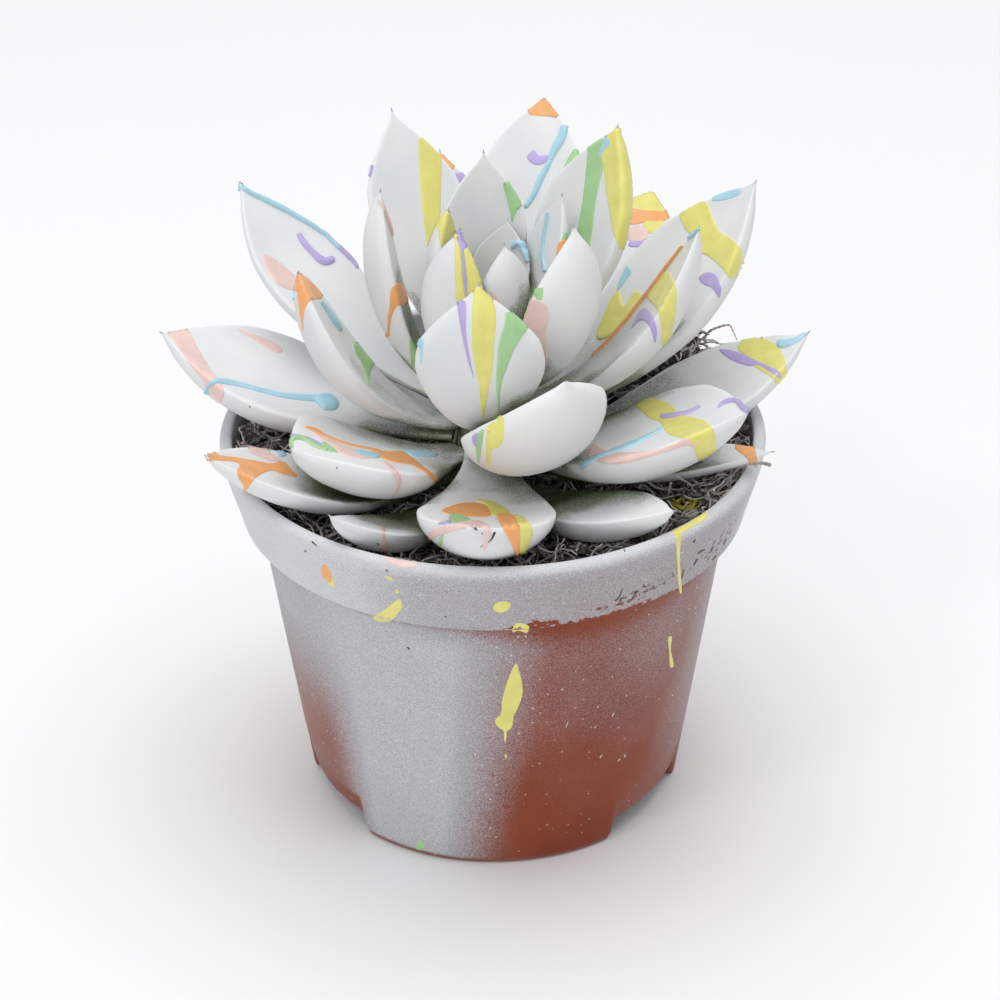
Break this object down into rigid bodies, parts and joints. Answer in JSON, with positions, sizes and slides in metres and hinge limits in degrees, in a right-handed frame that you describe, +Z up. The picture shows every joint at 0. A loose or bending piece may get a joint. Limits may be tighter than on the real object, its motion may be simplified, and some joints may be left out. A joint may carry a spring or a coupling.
{
  "type": "potted echeveria",
  "caption": "Potted echeveria: a rosette of thick pointed leaves on a short stem, painted white with pastel drips, in a round footed plastic nursery pot filled with soil.",
  "frame": {"origin": "on the surface the pot stands on, under the middle of the whole object's box", "axes": "+Z up, along the longest extent; -Y towards the side that the picture shows; +X to that view's right"},
  "size_m": [0.1424, 0.1379, 0.1519],
  "materials": {
    "leaf_skin": "matte",
    "stem_bark": "matte",
    "terracotta_plastic": "matte",
    "peat": "rough"
  },
  "bodies": {
    "root": {"pot": "terracotta_plastic", "soil": "peat", "stem": "stem_bark", "leaf_01": "leaf_skin", "leaf_02": "leaf_skin", "leaf_03": "leaf_skin", "leaf_04": "leaf_skin", "leaf_05": "leaf_skin", "leaf_06": "leaf_skin", "leaf_07": "leaf_skin", "leaf_08": "leaf_skin", "leaf_09": "leaf_skin", "leaf_10": "leaf_skin", "leaf_11": "leaf_skin", "leaf_12": "leaf_skin", "leaf_13": "leaf_skin", "leaf_14": "leaf_skin", "leaf_15": "leaf_skin", "leaf_16": "leaf_skin", "leaf_17": "leaf_skin", "leaf_18": "leaf_skin", "leaf_19": "leaf_skin", "leaf_20": "leaf_skin", "leaf_21": "leaf_skin", "leaf_22": "leaf_skin", "leaf_23": "leaf_skin", "leaf_24": "leaf_skin", "leaf_25": "leaf_skin", "leaf_26": "leaf_skin", "leaf_27": "leaf_skin", "leaf_28": "leaf_skin", "leaf_29": "leaf_skin", "leaf_30": "leaf_skin", "leaf_31": "leaf_skin", "leaf_32": "leaf_skin", "leaf_33": "leaf_skin", "leaf_34": "leaf_skin", "leaf_35": "leaf_skin"}
  },
  "joints": []
}
